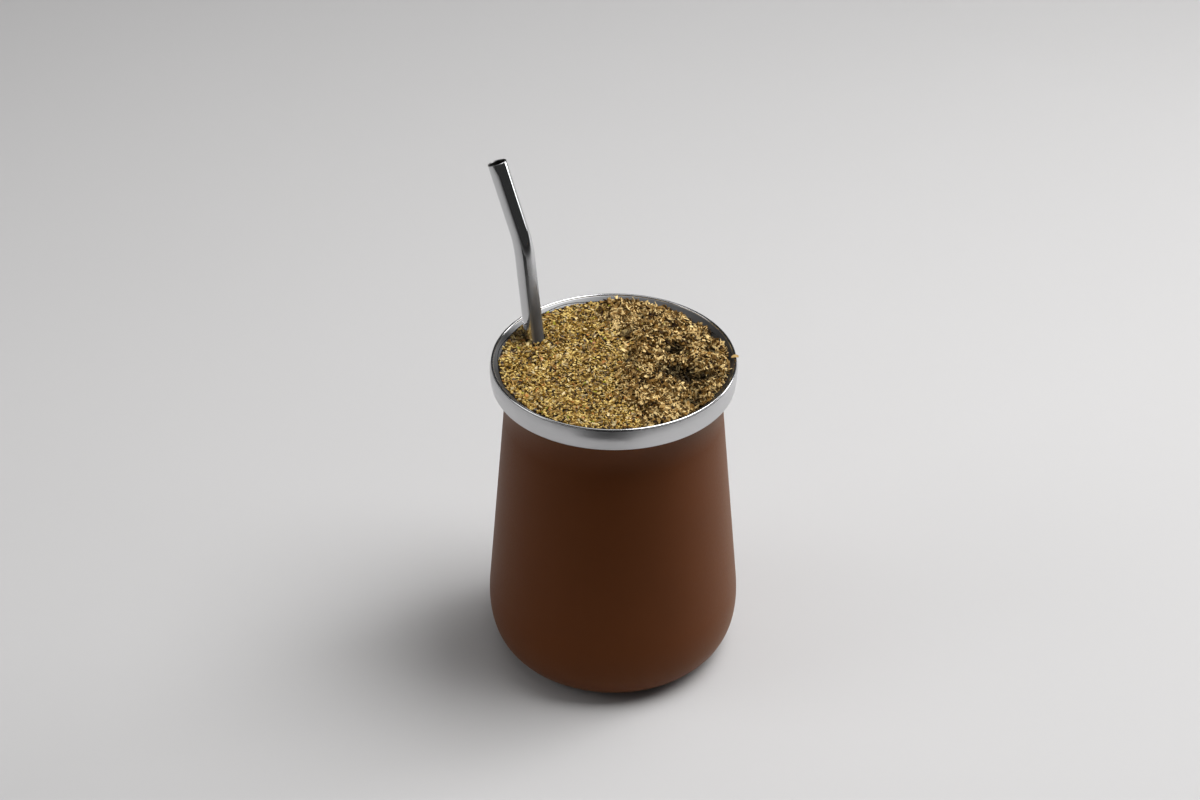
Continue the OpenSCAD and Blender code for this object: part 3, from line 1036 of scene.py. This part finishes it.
    def flake(self, scene, finish):
        """One curled dry leaf that hangs over the lip at the right"""
        start_x, lip_z = scene.mate_rim.width / 2 - 1.7 * MM, scene.mate_cup.height
        reach, half_width, thick, aside = 2.3 * MM, 0.75 * MM, 0.14 * MM, 0.3 * MM
        across, along = 4, 6
        points = []
        for i in range(along + 1):
            t = i / along
            half = half_width * math.sin(math.pi * (0.12 + 0.76 * t)) ** 0.6
            for j in range(across + 1):
                s = 2 * j / across - 1
                lift = 0.32 + 0.5 * math.sin(2.4 * t) - 0.5 * t * t + 0.14 * s * s
                points.append((start_x + reach * t, aside + half * s + 0.5 * MM * t * t, lip_z + lift * MM))
        row, count = across + 1, len(points)
        points += [(x, y, z + thick) for x, y, z in points]
        cells = [i * row + j for i in range(along) for j in range(across)]
        faces = [(a, a + 1, a + row + 1, a + row) for a in cells]
        faces += [(count + a, count + a + row, count + a + row + 1, count + a + 1) for a in cells]
        edge = [*range(across), *range(across, count - 1, row), *range(count - 1, along * row, -1),
                *range(along * row, 0, -row)]
        faces += [(b, a, count + a, count + b) for a, b in zip(edge, edge[1:] + edge[:1])]
        mesh = mesh_of("rim_flake", points, [], faces)
        mesh.materials.append(finish)
        give(mesh, "pick", "FLOAT", np.full(len(points), 0.6))
        # the flake takes no painted shade from the hollows
        give(mesh, "low", "FLOAT", np.zeros(len(points)))
        hand_in(placed("rim_flake", mesh), "yerba")


def leaf_ramp(stops, dark, middle, light):
    """A ramp of leaf colours, from dark over one between to the usual and the light one"""
    between = [(p + q) / 2 for p, q in zip(dark, middle)]
    return list(zip(stops, (dark, between, middle, light)))


def spread_about(shade):
    """A ramp from a darker to a lighter shade of one colour"""
    return [(0.0, [0.55 * v for v in shade]), (0.6, shade), (1.0, [min(1, 1.25 * v) for v in shade])]


class MATE_OT_stage(bpy.types.Operator):
    """Lay a pale floor, and set up soft lights and the camera"""
    bl_idname = "mate.stage"
    bl_label = "Stage"

    # name, place, aim (its Z is a share of the cup's height), size across and down, spread in degrees
    lamps = (
        ("key", (0.5, 0.1, 1.04), (0, 0.05, 0), 0.8, 0.8, 100),
        ("side", (0.8, 0.4, 0.3), (0, 0, 0.5), 0.3, 0.5, 180),
        ("front", (0.5, -0.9, 0.9), (0, 0, 0.5), 0.8, 0.8, 180),
        ("fill", (-0.9, -0.15, 0.5), (0, 0, 0.5), 0.6, 0.7, 180),
        ("top", (-0.1, 0.1, 1.2), (0, 0, 0.5), 1.1, 0.9, 180),
    )
    floor_corners = ((-4, -4), (4, -4), (4, 4), (-4, 4))
    card_corners = ((-0.1, -0.15), (-0.3, -0.9), (0.24, -0.9), (0.05, -0.15))
    card_height = 0.002
    backdrop = 0.7      # how bright the room is where the camera sees past the floor

    def light(self, name, place, aim, width, height, spread, power):
        """A soft rectangular light that looks at a point; its spread keeps it to a pool"""
        lamp = bpy.data.lights.new(name, "AREA")
        lamp.shape = "RECTANGLE"
        lamp.size, lamp.size_y, lamp.energy = width, height, power
        lamp.spread = math.radians(spread)
        holder = placed(name, lamp)
        holder.location = place
        holder.rotation_euler = (Vector(aim) - Vector(place)).to_track_quat("-Z", "Y").to_euler()

    def sheet(self, name, corners, height, finish):
        """A flat sheet lying level"""
        mesh = mesh_of(name, [(x, y, height) for x, y in corners], [], [tuple(range(len(corners)))])
        mesh.materials.append(finish)
        return placed(name, mesh)

    def execute(self, context):
        scene = context.scene
        stage = scene.mate_stage
        cup_height = scene.mate_cup.height
        floor = self.sheet("floor", self.floor_corners, 0.0, floor_finish(scene.mate_finishes.floor))
        card = self.sheet("dark_card", self.card_corners, self.card_height, card_finish())
        card.visible_camera = card.visible_shadow = False
        for name, place, (x, y, up), width, height, spread in self.lamps:
            self.light(name, place, (x, y, up * cup_height), width, height, spread, getattr(stage, name))
        world = bpy.data.worlds.new("Room")
        world.use_nodes = True
        bench = Bench(world.node_tree)
        seen = bench.add("ShaderNodeLightPath", None, None, "Is Camera Ray")
        strength = stage.room + (self.backdrop - stage.room) * seen
        back = bench.add("ShaderNodeBackground", None, {"Color": (1, 1, 1, 1), "Strength": strength})
        bench.add("ShaderNodeOutputWorld", None, {"Surface": back})
        scene.world = world
        lens = bpy.data.cameras.new("camera")
        lens.sensor_width = 36
        lens.lens = stage.lens
        lens.clip_start = 0.01
        camera = placed("camera", lens)
        back_way = Vector((0, -math.cos(stage.pitch), math.sin(stage.pitch)))
        up_way = Vector((0, math.sin(stage.pitch), math.cos(stage.pitch)))
        camera.location = (Vector((-stage.aim_across, 0, cup_height / 2)) + stage.distance * back_way
                           + stage.aim_up * up_way)
        camera.rotation_euler = (math.pi / 2 - stage.pitch, 0, 0)
        scene.camera = camera
        scene.view_settings.view_transform = "Standard"
        return {"FINISHED"}


class MATE_PT_panel(bpy.types.Panel):
    """The pieces of the drink, and their sizes"""
    bl_idname = "MATE_PT_panel"
    bl_label = "Mate gourd drink"
    bl_space_type = "VIEW_3D"
    bl_region_type = "UI"
    bl_category = "Mate"

    def draw(self, context):
        for operator in OPERATORS:
            self.layout.operator(operator.bl_idname)
        for name, group in SETTINGS.items():
            box = self.layout.box()
            for key in group.__annotations__:
                box.prop(getattr(context.scene, name), key)


OPERATORS = (MATE_OT_shell, MATE_OT_liner, MATE_OT_bombilla, MATE_OT_yerba, MATE_OT_stage)


def register():
    for part in (*SETTINGS.values(), *OPERATORS, MATE_PT_panel):
        bpy.utils.register_class(part)
    for name, group in SETTINGS.items():
        setattr(bpy.types.Scene, name, PointerProperty(type=group))


def unregister():
    for name in SETTINGS:
        delattr(bpy.types.Scene, name)
    for part in (MATE_PT_panel, *OPERATORS, *SETTINGS.values()):
        bpy.utils.unregister_class(part)


def main():
    register()
    bpy.ops.mate.shell()
    bpy.ops.mate.liner()
    bpy.ops.mate.bombilla()
    bpy.ops.mate.yerba()
    bpy.ops.mate.stage()


if __name__ == "__main__":
    main()
